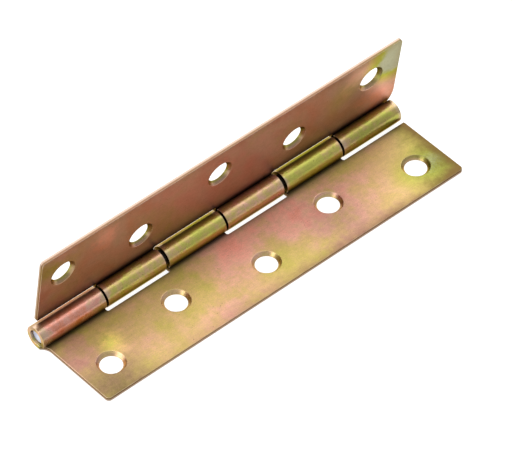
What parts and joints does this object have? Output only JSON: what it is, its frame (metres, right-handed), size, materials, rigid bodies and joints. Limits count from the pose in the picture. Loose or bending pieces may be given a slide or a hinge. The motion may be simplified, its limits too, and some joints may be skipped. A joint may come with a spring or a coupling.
{
  "type": "butt hinge",
  "caption": "Narrow pressed-steel butt hinge for doors: flat countersunk leaves rolled into alternating knuckles round a plain wire pin, finished in yellow zinc.",
  "frame": {"origin": "on the hinge axis, halfway along the fixed leaf", "axes": "+X along the pin; +Z square to the fixed leaf, out of the face that shows when the hinge is open; the fixed leaf reaches towards -Y with its back face down, and the moving leaf stands up from the axis"},
  "size_m": [0.1017, 0.0246, 0.0248],
  "materials": {
    "fixed_leaf_plate": "satin yellow passivated zinc over sheet steel, with pink and green tints",
    "moving_leaf_plate": "satin yellow passivated zinc over sheet steel, with pink and green tints",
    "pin_wire": "bright zinc over steel wire"
  },
  "bodies": {
    "fixed_leaf": {"fixed_leaf": "fixed_leaf_plate", "hinge_pin": "pin_wire"},
    "moving_leaf": {"moving_leaf": "moving_leaf_plate"}
  },
  "joints": [
    {"name": "hinge_swing", "type": "hinge", "parent": "fixed_leaf", "child": "moving_leaf", "pos_m": [0, 0, 0], "axis": [-1, 0, 0], "range_deg": [-89.5, 178]}
  ]
}
